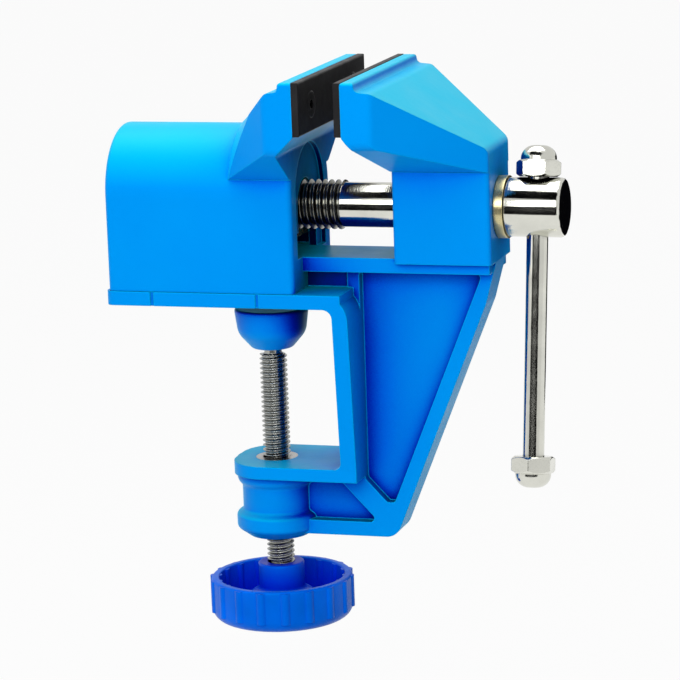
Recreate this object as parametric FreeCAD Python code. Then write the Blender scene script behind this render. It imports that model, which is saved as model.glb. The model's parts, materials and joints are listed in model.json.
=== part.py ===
"""Clamp-on bench vise, as separate pieces.

Millimetres. The origin is on the clamp screw's axis, in the underside of the base plate, where the
bench top meets it. +X runs along the lead screw to its handle, +Y to the far side, +Z up.
"""
import FreeCAD
import Part
import math
import os

Vector = FreeCAD.Vector
X_AXIS = Vector(1, 0, 0)
Y_AXIS = Vector(0, 1, 0)
Z_AXIS = Vector(0, 0, 1)

# Clearances
RUN = 0.05  # radial, between a shaft and its hole
SLIDE = 0.1  # between sliding faces
LOOSE = 0.5  # around what tilts or is only trapped
SEAT = 0.02  # radial, around a screw or pin in its own hole

# Jaws and pads
JAW_WIDTH = 64.0
JAW_TOP = 64.9
JAW_GAP = 9.7  # between the pads at rest
PAD_THICKNESS = 2.0
PAD_HEIGHT = 14.7
JAW_LIP = 3.7  # flat top behind a pad
JAW_LIP_HEIGHT = 2.5
PAD_SCREW_RADIUS = 2.0
PAD_SCREW_HEAD_RADIUS = 3.7
PAD_SCREW_HEAD_DEPTH = 1.7
PAD_SCREW_LENGTH = 9.5
PAD_SCREW_SPACING = 40.0
PAD_SCREW_SOCKET = 2.5  # across flats
PAD_SCREW_SOCKET_DEPTH = 1.1

# Fixed jaw, part of the frame
FIXED_FACE_X = 30.2  # front of the fixed pad
NECK_X = 39.9  # face of the neck under the fixed jaw
NECK_LENGTH = 27.7
NECK_WIDTH = 23.0
NECK_BOTTOM = 11.95
NECK_SHOULDER = 37.7  # height where the jaw starts to flare out
FLARE_RISE = 9.4  # from the neck's side to the jaw's end
FIXED_END_TOP = 44.15  # height of the slope at the neck's end
FIXED_JAW_DEPTH = 8.3  # of the full-width part, behind the pad

# Base plate and rail
PLATE_THICKNESS = 4.0
PLATE_WIDTH = 37.4
PLATE_LEFT_X = -42.9
PLATE_CORNER = 2.5
PLATE_NOTCH_SPACING = 31.0
PLATE_NOTCH_X = -29.5
PLATE_NOTCH_WIDTH = 1.0
PLATE_NOTCH_DEPTH = 0.4
RAIL_WIDTH = 18.6
RAIL_TOP = 13.1
RAIL_THICKNESS = 4.1
RAIL_STEM_WIDTH = 9.6
RAIL_LEFT_X = -40.0

# C-frame under the plate
THROAT_HEIGHT = 46.7
LEG_X = 23.5  # inner face of the leg at the plate
LEG_DRAFT = 0.2  # how far the leg leans in by the arm
LEG_THICKNESS = 4.5
BEND_INNER = 2.6
ARM_WIDTH = 28.3
ARM_DEPTH = 21.1
ARM_FLANGE = 3.6
ARM_FOOT = 4.1  # thickness of the lower flange
ARM_END_X = -11.3
ARM_RIB = 5.9  # of the slanting rib under the throat
ARM_RIB_SLOPE = 1.06  # its fall along X
ARM_END_RADIUS = 11.0
RIM_WIDTH = 11.0  # of the diagonal
RIM_THICKNESS = 4.05
RIM_INSET = 3.3  # of the diagonal from the neck's end, level with the bench
WEB_THICKNESS = 5.0
HEEL_X = 36.5  # right end of the arm
HEEL_ROUND = 4.5

# Boss of the clamp screw
BOSS_RADIUS = 10.2
BOSS_FLANGE_RADIUS = 12.1
BOSS_FLANGE_HEIGHT = 6.4
BOSS_DROP = 1.5  # how far the boss stands below the arm
BUSH_RADIUS = 6.0

# Sliding jaw
CARRIAGE_WIDTH = 37.0
CARRIAGE_LENGTH = 54.8
CARRIAGE_TOP = 49.3
CARRIAGE_WALL = 5.0
CARRIAGE_SETBACK = 5.65  # of the front wall behind the jaw
CARRIAGE_ROUND = 1.5
SLIDING_JAW_DEPTH = 8.2
SLIDING_SHOULDER = 36.0
SLIDING_TAPER = 15.8  # length over which the jaw narrows to the carriage
SLIDING_LEDGE = 7.5  # from the jaw's face to the top of its slope
SLIDING_KNEE = 14.5  # from the jaw's face to the hollow in its slope
SLIDING_KNEE_RISE = 5.6  # of that hollow over the carriage
KEEPER_GAP = 0.4  # beside the rail's stem

# Lead screw and nut
SCREW_HEIGHT = 26.55
SCREW_RADIUS = 7.0
SCREW_PITCH = 2.0
SCREW_THREAD_DEPTH = 1.1
SCREW_SHANK_RADIUS = 6.35
SCREW_LEFT_X = -27.0
THREAD_END_X = 23.0
HEAD_RADIUS = 8.25
HEAD_LENGTH = 15.7
HEAD_CHAMFER = 1.0
HANDLE_HOLE_OFFSET = 8.0  # from the head's inner end
WASHER_THICKNESS = 2.6
WASHER_RADIUS = 8.7
NUT_LENGTH = 16.0
NUT_HEIGHT = 19.0
NUT_FRONT_SETBACK = 3.9  # behind the carriage's front
NUT_RIB = 2.4
GRUB_RADIUS = 2.5
GRUB_TIP_RADIUS = 1.5
GRUB_TIP_LENGTH = 1.5
GROOVE_DEPTH = 1.5

# Handle
HANDLE_LEAN = 10.1  # degrees, lower end towards the near side
HANDLE_RADIUS = 3.0
HANDLE_UPPER_NUT = 8.35  # distance of the upper nut's underside from the lead screw's axis
HANDLE_LOWER_NUT = 68.6
CAP_NUT_FLATS = 11.0
CAP_NUT_HEX = 4.7
CAP_NUT_DOME = 4.0
CAP_NUT_BORE = 5.5

# Clamp screw, pad and handwheel
CLAMP_RADIUS = 3.95
CLAMP_PITCH = 1.4
CLAMP_THREAD_DEPTH = 0.75
CLAMP_PAD_TOP = 3.1  # below the plate at rest
CLAMP_PAD_RADIUS = 10.5
CLAMP_PAD_HEIGHT = 11.7
CLAMP_PAD_RIM = 1.2
BALL_RADIUS = 3.9
BALL_DEPTH = 5.9  # of its centre below the pad's face
BALL_NECK_RADIUS = 2.5
RING_THICKNESS = 0.9
RING_RADIUS = 5.2
WHEEL_RADIUS = 20.9
WHEEL_GRIP = 0.6
WHEEL_GRIP_COUNT = 18
WHEEL_HEIGHT = 12.4
WHEEL_WALL = 2.6
WHEEL_FLOOR = 2.6
WHEEL_ROUND = 3.4
WHEEL_DROP = 12.35  # of its rim below the boss at rest
HUB_RADIUS = 6.6
HUB_RISE = 3.9  # of the hub above the rim
HUB_FOOT_RADIUS = 9.0
HUB_FOOT_HEIGHT = 7.5
SPIGOT_RADIUS = 3.0
SPIGOT_FLAT = 0.7
WHEEL_NUT_FLATS = 10.0
WHEEL_NUT_HEIGHT = 4.6
WHEEL_WASHER_RADIUS = 5.8
WHEEL_WASHER_THICKNESS = 1.0

# Worked out from the sizes above
FIXED_JAW_X = FIXED_FACE_X + PAD_THICKNESS
NECK_END_X = NECK_X + NECK_LENGTH
SLIDING_FACE_X = FIXED_FACE_X - JAW_GAP
SLIDING_JAW_X = SLIDING_FACE_X - PAD_THICKNESS
CARRIAGE_X = SLIDING_JAW_X - CARRIAGE_SETBACK
CARRIAGE_LEFT_X = CARRIAGE_X - CARRIAGE_LENGTH
CARRIAGE_BOTTOM = PLATE_THICKNESS + SLIDE
RAIL_BOTTOM = RAIL_TOP - RAIL_THICKNESS
PAD_BOTTOM = JAW_TOP - PAD_HEIGHT
LEG_FOOT_X = LEG_X - LEG_DRAFT
ARM_BOTTOM = -THROAT_HEIGHT - ARM_DEPTH
BOSS_BOTTOM = ARM_BOTTOM - BOSS_DROP
SCREW_AXIS = Vector(0, 0, SCREW_HEIGHT)
HEAD_X = NECK_END_X + WASHER_THICKNESS + 2 * SLIDE
HANDLE_X = HEAD_X + HANDLE_HOLE_OFFSET
HANDLE_TILT = math.radians(HANDLE_LEAN)
HANDLE_AXIS = Vector(0, math.sin(HANDLE_TILT), math.cos(HANDLE_TILT))
HANDLE_CENTRE = Vector(HANDLE_X, 0, SCREW_HEIGHT)
GRUB_X = NECK_X + NECK_LENGTH / 2
GROOVE_RADIUS = SCREW_RADIUS - GROOVE_DEPTH
BALL_Z = -CLAMP_PAD_TOP - BALL_DEPTH
WHEEL_RIM = BOSS_BOTTOM - WHEEL_DROP
WHEEL_BOTTOM = WHEEL_RIM - WHEEL_HEIGHT
HUB_TOP = WHEEL_RIM + HUB_RISE
WHEEL_NUT_TOP = WHEEL_BOTTOM + WHEEL_NUT_HEIGHT + WHEEL_WASHER_THICKNESS + SLIDE


def outline(corners, place):
    """A closed face through corners (a, b, radius), put in space by place(a, b)."""
    spans = []
    for i, (a, b, radius) in enumerate(corners):
        here = Vector(a, b, 0)
        back = Vector(*corners[i - 1][:2], 0) - here
        ahead = Vector(*corners[(i + 1) % len(corners)][:2], 0) - here
        back.normalize()
        ahead.normalize()
        half = back.getAngle(ahead) / 2
        reach = radius / math.tan(half)
        inward = back + ahead
        middle = here
        if radius:
            inward.normalize()
            middle = here + inward * (radius / math.sin(half) - radius)
        spans.append((here + back * reach, middle, here + ahead * reach, radius))
    edges = []
    for i, (start, middle, end, radius) in enumerate(spans):
        start, middle, end = (place(p.x, p.y) for p in (start, middle, end))
        if radius:
            edges.append(Part.Arc(start, middle, end).toShape())
        following = spans[(i + 1) % len(spans)][0]
        following = place(following.x, following.y)
        if end.distanceToPoint(following) > 1e-6:
            edges.append(Part.makeLine(end, following))
    return Part.Face(Part.Wire(edges))


def square(points):
    """The same points as corners that aren't rounded."""
    return [(a, b, 0) for a, b in points]


def side_prism(corners, y0, y1):
    """An outline in X and Z, from y0 to y1."""
    return outline(corners, lambda x, z: Vector(x, y0, z)).extrude(Vector(0, y1 - y0, 0))


def plan_prism(corners, z0, z1):
    """An outline in X and Y, from z0 to z1."""
    return outline(corners, lambda x, y: Vector(x, y, z0)).extrude(Vector(0, 0, z1 - z0))


def end_prism(corners, x0, x1):
    """An outline in Y and Z, from x0 to x1."""
    return outline(corners, lambda y, z: Vector(x0, y, z)).extrude(Vector(x1 - x0, 0, 0))


def block(x0, x1, width, z0, z1):
    """A box centred on the XZ plane."""
    return Part.makeBox(x1 - x0, width, z1 - z0, Vector(x0, -width / 2, z0))


def lathe(corners, base, axis):
    """The solid turned about an axis from corners (distance along it, distance from it, radius)."""
    aside = Vector(0, 1, 0) if abs(axis.y) < 0.5 else Vector(1, 0, 0)
    aside = aside - axis * aside.dot(axis)
    aside.normalize()
    return outline(corners, lambda s, r: base + axis * s + aside * r).revolve(base, axis, 360)


def turned(points, base, axis):
    """The same, from (distance along the axis, distance from it) points that aren't rounded."""
    return lathe(square(points), base, axis)


def rod(radius, start, end, base, axis):
    """A cylinder about an axis, between two distances along it."""
    return Part.makeCylinder(radius, end - start, base + axis * start, axis)


def hexagon(flats, start, end, base, axis, turn):
    """A hexagonal prism about an axis; turn, in degrees, turns its corners."""
    aside = Vector(1, 0, 0) if abs(axis.x) < 0.5 else Vector(0, 1, 0)
    across = axis.cross(aside)
    radius = flats / math.sqrt(3)
    angles = [math.radians(turn + 60 * i) for i in range(6)]
    points = [(radius * math.cos(a), radius * math.sin(a)) for a in angles]
    face = outline(square(points), lambda a, b: base + axis * start + aside * a + across * b)
    return face.extrude(axis * (end - start))


def thread_points(start, end, pitch, radius, depth):
    """The outline of a thread drawn as rings: (distance, radius) points, counted back from its end."""
    count = int((end - start) / pitch)
    crest = pitch / 8
    points = []
    for i in range(count):
        left = end - (count - i) * pitch
        points += [(left + crest, radius), (left + pitch / 2, radius - depth)]
        points += [(left + pitch - crest, radius)]
    return points


def fillet_where(solid, radius, chosen):
    """The solid with the edges that chosen(edge) picks rounded."""
    edges = [edge for edge in solid.Edges if chosen(edge)]
    return solid.makeFillet(radius, edges)


def jaw_section(side, shoulder, top):
    """Corners of a jaw's cross-section: its neck's width at the shoulder, flared to the jaw's."""
    wide = JAW_WIDTH / 2
    flare = shoulder + FLARE_RISE
    return [(-side, shoulder, 4), (side, shoulder, 4), (wide, flare, 2.5), (wide, top, 1),
            (-wide, top, 1), (-wide, flare, 2.5)]


def pad_screw_places():
    """Heights and sides of a pad's two screws."""
    middle = JAW_TOP - PAD_HEIGHT / 2
    return [Vector(0, side * PAD_SCREW_SPACING / 2, middle) for side in (-1, 1)]


def pad_screw_holes(face_x, inward):
    """The two holes behind a pad, from its front at face_x; inward is +1 or -1 along X."""
    holes = []
    for place in pad_screw_places():
        base = place + Vector(face_x, 0, 0)
        holes.append(rod(PAD_SCREW_RADIUS + SEAT, -1, PAD_SCREW_LENGTH + SLIDE, base, X_AXIS * inward))
    return holes


def pad(face_x, inward):
    """A jaw pad with two countersunk holes."""
    back_x = face_x + inward * PAD_THICKNESS
    plate = block(min(face_x, back_x), max(face_x, back_x), JAW_WIDTH, PAD_BOTTOM, JAW_TOP)
    plate = fillet_where(plate, 0.4, lambda e: abs(e.CenterOfMass.x - face_x) < 0.01)
    sinks = []
    for place in pad_screw_places():
        base = place + Vector(face_x, 0, 0)
        sinks.append(countersink(SEAT, base, X_AXIS * inward))
    return plate.cut(pad_screw_holes(face_x, inward) + sinks)


def countersink(gap, base, axis):
    """A countersunk head, wider by gap, from its flat top at base."""
    points = [(0, 0), (0, PAD_SCREW_HEAD_RADIUS + gap)]
    points += [(PAD_SCREW_HEAD_DEPTH, PAD_SCREW_RADIUS + gap), (PAD_SCREW_HEAD_DEPTH, 0)]
    return turned(points, base, axis)


def pad_screws(face_x, inward):
    """A pad's two socket screws."""
    screws = []
    for place in pad_screw_places():
        base = place + Vector(face_x, 0, 0)
        axis = X_AXIS * inward
        head = countersink(0, base, axis)
        shank = rod(PAD_SCREW_RADIUS, PAD_SCREW_HEAD_DEPTH, PAD_SCREW_LENGTH, base, axis)
        socket = hexagon(PAD_SCREW_SOCKET, -1, PAD_SCREW_SOCKET_DEPTH, base, axis, 0)
        screws.append(head.fuse(shank).removeSplitter().cut(socket))
    return Part.makeCompound(screws)


def fixed_jaw():
    """The fixed jaw's head and neck, standing on the rail."""
    half = NECK_WIDTH / 2
    lip_x = FIXED_JAW_X + JAW_LIP
    lip_z = JAW_TOP - JAW_LIP_HEIGHT
    back_x = FIXED_JAW_X + FIXED_JAW_DEPTH
    head = end_prism(jaw_section(half, NECK_SHOULDER, JAW_TOP), FIXED_JAW_X, NECK_END_X)
    wide = JAW_WIDTH / 2
    plan = [(FIXED_JAW_X, -wide, 0), (back_x, -wide, 3), (NECK_END_X, -half, 1.2), (NECK_END_X, half, 1.2),
            (back_x, wide, 3), (FIXED_JAW_X, wide, 0)]
    head = head.common(plan_prism(plan, NECK_SHOULDER, JAW_TOP))
    under = NECK_SHOULDER + FLARE_RISE
    side = [(FIXED_JAW_X, JAW_TOP, 0.6), (lip_x, JAW_TOP, 0.8), (lip_x + 0.4, lip_z, 1.5),
            (back_x, lip_z - 0.4, 3), (NECK_END_X, FIXED_END_TOP, 3), (NECK_END_X, NECK_SHOULDER, 0),
            (NECK_X, NECK_SHOULDER, 0), (FIXED_JAW_X + 2.2, under, 2), (FIXED_JAW_X, PAD_BOTTOM - 0.3, 1)]
    head = head.common(side_prism(side, -wide, wide))
    neck = plan_prism([(NECK_X, -half, 1), (NECK_END_X, -half, 1.2), (NECK_END_X, half, 1.2),
                       (NECK_X, half, 1)], NECK_BOTTOM, NECK_SHOULDER)
    return head.fuse(neck)


def frame_plate():
    """The base plate, with its rail and the rail's stem."""
    wide = PLATE_WIDTH / 2
    end_x = LEG_X + BEND_INNER
    plate = plan_prism([(PLATE_LEFT_X, -wide, PLATE_CORNER), (end_x, -wide, 0), (end_x, wide, 0),
                        (PLATE_LEFT_X, wide, PLATE_CORNER)], 0, PLATE_THICKNESS)
    rail = block(RAIL_LEFT_X, NECK_END_X - 1, RAIL_WIDTH, RAIL_BOTTOM, RAIL_TOP)
    stem = block(RAIL_LEFT_X, LEG_X + LEG_THICKNESS - 0.5, RAIL_STEM_WIDTH, PLATE_THICKNESS, RAIL_BOTTOM)
    notches = []
    for x in (PLATE_NOTCH_X, PLATE_NOTCH_X + PLATE_NOTCH_SPACING):
        for side in (-1, 1):
            corner = Vector(x, side * wide - PLATE_NOTCH_DEPTH, 0)
            size = (PLATE_NOTCH_WIDTH, 2 * PLATE_NOTCH_DEPTH, PLATE_THICKNESS)
            notches.append(Part.makeBox(*size, corner))
    return plate.cut(notches).fuse([rail, stem])


def frame_leg():
    """The C-frame's flange: from the plate round its bend and down the leg."""
    wide = PLATE_WIDTH / 2
    narrow = ARM_WIDTH / 2
    foot = -THROAT_HEIGHT - ARM_FLANGE
    strip = side_prism([(LEG_X - 6, 0, 0), (LEG_X, 0, BEND_INNER), (LEG_FOOT_X, -THROAT_HEIGHT, 2),
                        (LEG_FOOT_X - 4, -THROAT_HEIGHT, 0), (LEG_FOOT_X - 4, foot, 0),
                        (LEG_FOOT_X + LEG_THICKNESS, foot, 0),
                        (LEG_X + LEG_THICKNESS, PLATE_THICKNESS, BEND_INNER + LEG_THICKNESS),
                        (LEG_X - 6, PLATE_THICKNESS, 0)], -wide, wide)
    taper = end_prism(square([(-wide, PLATE_THICKNESS), (-wide, 0), (-narrow, -THROAT_HEIGHT),
                              (-narrow, foot), (narrow, foot), (narrow, -THROAT_HEIGHT), (wide, 0),
                              (wide, PLATE_THICKNESS)]), LEG_FOOT_X - 10, LEG_X + 20)
    return strip.common(taper)


def frame_web():
    """The C-frame's web with its diagonal rim, and a pocket in each side."""
    foot_x = LEG_FOOT_X + LEG_THICKNESS
    rim = side_prism([(LEG_X + 1, RAIL_BOTTOM, 0), (LEG_FOOT_X + 1, -THROAT_HEIGHT - 1, 0),
                      (0, -THROAT_HEIGHT - 1, 0), (0, ARM_BOTTOM, 0), (HEEL_X, ARM_BOTTOM, HEEL_ROUND),
                      (NECK_END_X - RIM_INSET, 0, 8), (NECK_END_X, RAIL_TOP - 1, 0),
                      (NECK_END_X - 6, RAIL_BOTTOM, 0)], -RIM_WIDTH / 2, RIM_WIDTH / 2)
    # The diagonal's slope, from the heel to the neck
    slope = (NECK_END_X - RIM_INSET - HEEL_X) / -ARM_BOTTOM

    def inside(z):
        return HEEL_X + (z - ARM_BOTTOM) * slope - RIM_THICKNESS * 1.08

    flange_z = -THROAT_HEIGHT - ARM_FLANGE
    floor = ARM_BOTTOM + ARM_FOOT
    heel_z = floor + 6
    heel_x = inside(heel_z) - 2.2
    rib_z = heel_z + (heel_x - foot_x) * ARM_RIB_SLOPE
    # The rib's lower edge is its upper one moved down by the rib's upright thickness
    rib_drop = ARM_RIB * math.hypot(1, ARM_RIB_SLOPE)
    upper = [(foot_x + LEG_DRAFT, RAIL_BOTTOM - 0.2, 1.5), (inside(RAIL_BOTTOM), RAIL_BOTTOM - 0.2, 1.5),
             (inside(heel_z), heel_z, 1), (heel_x, heel_z, 1), (foot_x, rib_z, 1.5)]
    rib_x = foot_x + (rib_z - rib_drop - flange_z) / ARM_RIB_SLOPE
    end_x = foot_x + (rib_z - rib_drop - floor) / ARM_RIB_SLOPE
    lower = [(BOSS_RADIUS - 3, flange_z, 0), (rib_x, flange_z, 1.5), (end_x - 1.2, floor + 1.2, 1),
             (end_x - 2.4, floor, 1), (BOSS_RADIUS - 3, floor, 0)]
    pockets = []
    for y0, y1 in ((-RIM_WIDTH, -WEB_THICKNESS / 2), (WEB_THICKNESS / 2, RIM_WIDTH)):
        pockets.append(side_prism(upper, y0, y1))
        pockets.append(side_prism(lower, y0, y1))
    return rim.cut(pockets)


def frame_arm():
    """The lower arm's flanges and the boss that carries the clamp screw."""
    half = ARM_WIDTH / 2
    top_z = -THROAT_HEIGHT
    end_x = LEG_FOOT_X + LEG_THICKNESS
    top = plan_prism([(ARM_END_X, -half, ARM_END_RADIUS), (end_x, -half, 0), (end_x, half, 0),
                      (ARM_END_X, half, ARM_END_RADIUS)], top_z - ARM_FLANGE, top_z)
    bottom = block(0, HEEL_X - 7, RIM_WIDTH, ARM_BOTTOM, ARM_BOTTOM + ARM_FOOT)
    boss = outline([(0, 0, 0), (0, BOSS_FLANGE_RADIUS - 0.6, 0), (6.2, BOSS_FLANGE_RADIUS - 0.6, 2.2),
                    (7.6, BOSS_RADIUS, 1.4),
                    (ARM_DEPTH + BOSS_DROP - BOSS_FLANGE_HEIGHT - 1.4, BOSS_RADIUS, 1.4),
                    (ARM_DEPTH + BOSS_DROP - BOSS_FLANGE_HEIGHT, BOSS_FLANGE_RADIUS, 1.4),
                    (ARM_DEPTH + BOSS_DROP - 2.6, BOSS_FLANGE_RADIUS, 1.6),
                    (ARM_DEPTH + BOSS_DROP, BOSS_RADIUS - 1.6, 0.8), (ARM_DEPTH + BOSS_DROP, 0, 0)],
                   lambda s, r: Vector(r, 0, top_z - s))
    boss = boss.revolve(Vector(0, 0, 0), Z_AXIS, 360)
    return top.fuse([bottom, boss])


def frame_casting():
    """The frame: fixed jaw, rail, base plate and C-frame in one casting."""
    body = fixed_jaw().fuse([frame_plate(), frame_leg(), frame_web(), frame_arm()])
    body = body.removeSplitter()
    bore = rod(SCREW_RADIUS + RUN, NECK_X - 1, NECK_END_X + 1, SCREW_AXIS, X_AXIS)
    bush = rod(BUSH_RADIUS + SEAT, BOSS_BOTTOM - 1, -THROAT_HEIGHT + 1, Vector(0, 0, 0), Z_AXIS)
    grub = rod(GRUB_RADIUS + SEAT, 0, NECK_WIDTH, Vector(GRUB_X, 0, SCREW_HEIGHT), Y_AXIS)
    return body.cut([bore, bush, grub] + pad_screw_holes(FIXED_FACE_X, 1))


def carriage_section(wall):
    """Corners and arch of the carriage's cross-section, inside a wall: a flat side, a round top."""
    half = CARRIAGE_WIDTH / 2 - wall
    return half, CARRIAGE_TOP - CARRIAGE_WIDTH / 2


def tunnel(wall, x0, x1, bottom):
    """A D-shaped bar: the carriage's outside less a wall."""
    half, spring = carriage_section(wall)
    sides = [Part.makeLine(Vector(x0, -half, spring), Vector(x0, -half, bottom)),
             Part.makeLine(Vector(x0, -half, bottom), Vector(x0, half, bottom)),
             Part.makeLine(Vector(x0, half, bottom), Vector(x0, half, spring))]
    arch = Part.Arc(Vector(x0, half, spring), Vector(x0, 0, spring + half), Vector(x0, -half, spring))
    return Part.Face(Part.Wire(sides + [arch.toShape()])).extrude(Vector(x1 - x0, 0, 0))


def sliding_jaw_flare(end_x, back_x):
    """A cone from the carriage's arch at end_x that takes in the jaw's corners at back_x."""
    half, spring = carriage_section(0.3)
    reach = math.hypot(JAW_WIDTH / 2, JAW_TOP - spring)
    growth = (reach - half) / (back_x - end_x)
    length = SLIDING_JAW_X - end_x
    return Part.makeCone(half, half + growth * length, length, Vector(end_x, 0, spring), X_AXIS)


def sliding_jaw_head():
    """The sliding jaw's head: full width behind its pad, narrowed and sloped down to the carriage."""
    half = CARRIAGE_WIDTH / 2
    wide = JAW_WIDTH / 2
    lip_x = SLIDING_JAW_X - JAW_LIP
    lip_z = JAW_TOP - JAW_LIP_HEIGHT
    back_x = SLIDING_JAW_X - SLIDING_JAW_DEPTH
    end_x = back_x - SLIDING_TAPER
    knee = (SLIDING_JAW_X - SLIDING_KNEE, CARRIAGE_TOP + SLIDING_KNEE_RISE, 9)
    head = end_prism(jaw_section(half - 0.3, SLIDING_SHOULDER, JAW_TOP), end_x, SLIDING_JAW_X)
    plan = [(SLIDING_JAW_X, -wide, 0), (back_x, -wide, 3), (end_x, -half + 0.3, 0), (end_x, half - 0.3, 0),
            (back_x, wide, 3), (SLIDING_JAW_X, wide, 0)]
    head = head.common(plan_prism(plan, SLIDING_SHOULDER, JAW_TOP))
    under = SLIDING_SHOULDER + FLARE_RISE
    side = [(SLIDING_JAW_X, JAW_TOP, 0.6), (SLIDING_JAW_X, PAD_BOTTOM - 0.3, 1),
            (CARRIAGE_X, under - 1, 2), (CARRIAGE_X, SLIDING_SHOULDER, 0),
            (end_x, SLIDING_SHOULDER, 0), (end_x, CARRIAGE_TOP - 0.3, 0), knee,
            (SLIDING_JAW_X - SLIDING_LEDGE, lip_z - 0.4, 2), (lip_x - 0.4, lip_z, 1), (lip_x, JAW_TOP, 0.8)]
    return head.common(side_prism(side, -wide, wide)).common(sliding_jaw_flare(end_x, back_x))


def nut_span():
    """The lead nut's ends along X."""
    front = CARRIAGE_X - NUT_FRONT_SETBACK
    return front - NUT_LENGTH, front


def sliding_jaw():
    """The sliding jaw: a hollow carriage that wraps the rail, with the jaw's head on top."""
    bottom = CARRIAGE_BOTTOM
    body = tunnel(0, CARRIAGE_LEFT_X, CARRIAGE_X, bottom)
    _, spring = carriage_section(0)
    body = fillet_where(body, CARRIAGE_ROUND, lambda e: abs(e.CenterOfMass.x - CARRIAGE_LEFT_X) < 0.01
                        and e.CenterOfMass.z > bottom + 1)
    body = fillet_where(body, 1.6, lambda e: abs(e.CenterOfMass.x - CARRIAGE_X) < 0.01
                        and e.CenterOfMass.z > bottom + 1)
    body = body.fuse(sliding_jaw_head()).removeSplitter()
    hollow = tunnel(CARRIAGE_WALL, CARRIAGE_LEFT_X + CARRIAGE_WALL, CARRIAGE_X + 1, RAIL_TOP)
    slot_x = CARRIAGE_LEFT_X - 1
    slot = block(slot_x, CARRIAGE_X + 1, RAIL_WIDTH + 2 * SLIDE, RAIL_BOTTOM - SLIDE, RAIL_TOP + SLIDE)
    stem = block(slot_x, CARRIAGE_X + 1, RAIL_STEM_WIDTH + 2 * KEEPER_GAP, bottom - 1, RAIL_BOTTOM)
    body = body.cut([hollow, slot, stem])
    back, front = nut_span()
    ribs = []
    for x0, x1 in ((back - NUT_RIB, back), (front, front + NUT_RIB)):
        rib = tunnel(CARRIAGE_WALL - 0.5, x0, x1, RAIL_TOP - 0.5)
        window = rod(SCREW_RADIUS + LOOSE, x0 - 1, x1 + 1, SCREW_AXIS, X_AXIS)
        below = block(x0 - 1, x1 + 1, RAIL_WIDTH + 2 * SLIDE, RAIL_TOP - 1, SCREW_HEIGHT - SCREW_RADIUS)
        reach = block(x0 - 1, x1 + 1, 2 * (SCREW_RADIUS + LOOSE), RAIL_TOP - 1, SCREW_HEIGHT)
        ribs.append(rib.cut([window, below, reach]))
    body = body.fuse(ribs).removeSplitter()
    return body.cut(pad_screw_holes(SLIDING_FACE_X, -1))


def lead_nut():
    """The lead screw's nut, held between the carriage's walls and ribs."""
    back, front = nut_span()
    width = CARRIAGE_WIDTH - 2 * CARRIAGE_WALL - 2 * SEAT
    low = SCREW_HEIGHT - NUT_HEIGHT / 2
    body = block(back, front, width, low, low + NUT_HEIGHT)
    inside = tunnel(CARRIAGE_WALL + SEAT, back, front, low)
    bore = rod(SCREW_RADIUS + RUN, back - 1, front + 1, SCREW_AXIS, X_AXIS)
    return body.common(inside).cut(bore)


def lead_screw():
    """The lead screw: thread, bare shank, journal with its groove, and the cross-drilled head."""
    tip = SCREW_RADIUS - SCREW_THREAD_DEPTH
    journal_x = NECK_X + LOOSE
    groove = GRUB_TIP_RADIUS + SLIDE
    points = [(SCREW_LEFT_X, 0), (SCREW_LEFT_X, tip)]
    points += thread_points(SCREW_LEFT_X + SCREW_THREAD_DEPTH, THREAD_END_X, SCREW_PITCH, SCREW_RADIUS,
                            SCREW_THREAD_DEPTH)
    points += [(THREAD_END_X + 0.6, SCREW_SHANK_RADIUS), (journal_x, SCREW_SHANK_RADIUS),
               (journal_x, SCREW_RADIUS),
               (GRUB_X - groove, SCREW_RADIUS), (GRUB_X - groove, GROOVE_RADIUS),
               (GRUB_X + groove, GROOVE_RADIUS), (GRUB_X + groove, SCREW_RADIUS), (HEAD_X, SCREW_RADIUS),
               (HEAD_X, HEAD_RADIUS - 0.3), (HEAD_X + 0.3, HEAD_RADIUS),
               (HEAD_X + HEAD_LENGTH - HEAD_CHAMFER, HEAD_RADIUS),
               (HEAD_X + HEAD_LENGTH, HEAD_RADIUS - HEAD_CHAMFER), (HEAD_X + HEAD_LENGTH, 0)]
    screw = turned(points, SCREW_AXIS, X_AXIS)
    return screw.cut(rod(HANDLE_RADIUS + SLIDE, -20, 20, HANDLE_CENTRE, HANDLE_AXIS))


def thrust_washer():
    """The washer between the neck and the lead screw's head."""
    start = NECK_END_X + SLIDE
    ring = rod(WASHER_RADIUS, start, start + WASHER_THICKNESS, SCREW_AXIS, X_AXIS)
    return ring.cut(rod(SCREW_RADIUS + RUN, start - 1, start + WASHER_THICKNESS + 1, SCREW_AXIS, X_AXIS))


def lead_screw_grub():
    """The grub screw whose tip runs in the journal's groove."""
    base = Vector(GRUB_X, 0, SCREW_HEIGHT)
    tip = GROOVE_RADIUS + SLIDE
    shoulder = tip + GRUB_TIP_LENGTH + SLIDE
    end = NECK_WIDTH / 2 - 0.3
    body = rod(GRUB_RADIUS, shoulder, end, base, Y_AXIS)
    body = body.fuse(rod(GRUB_TIP_RADIUS, tip, shoulder, base, Y_AXIS))
    return body.cut(hexagon(GRUB_RADIUS, end - 1.5, end + 1, base, Y_AXIS, 0))


def handle_bar():
    """The sliding handle's rod, bottomed in both cap nuts."""
    low = HANDLE_LOWER_NUT + CAP_NUT_BORE
    high = HANDLE_UPPER_NUT + CAP_NUT_BORE
    return rod(HANDLE_RADIUS, -low, high, HANDLE_CENTRE, HANDLE_AXIS)


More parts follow.
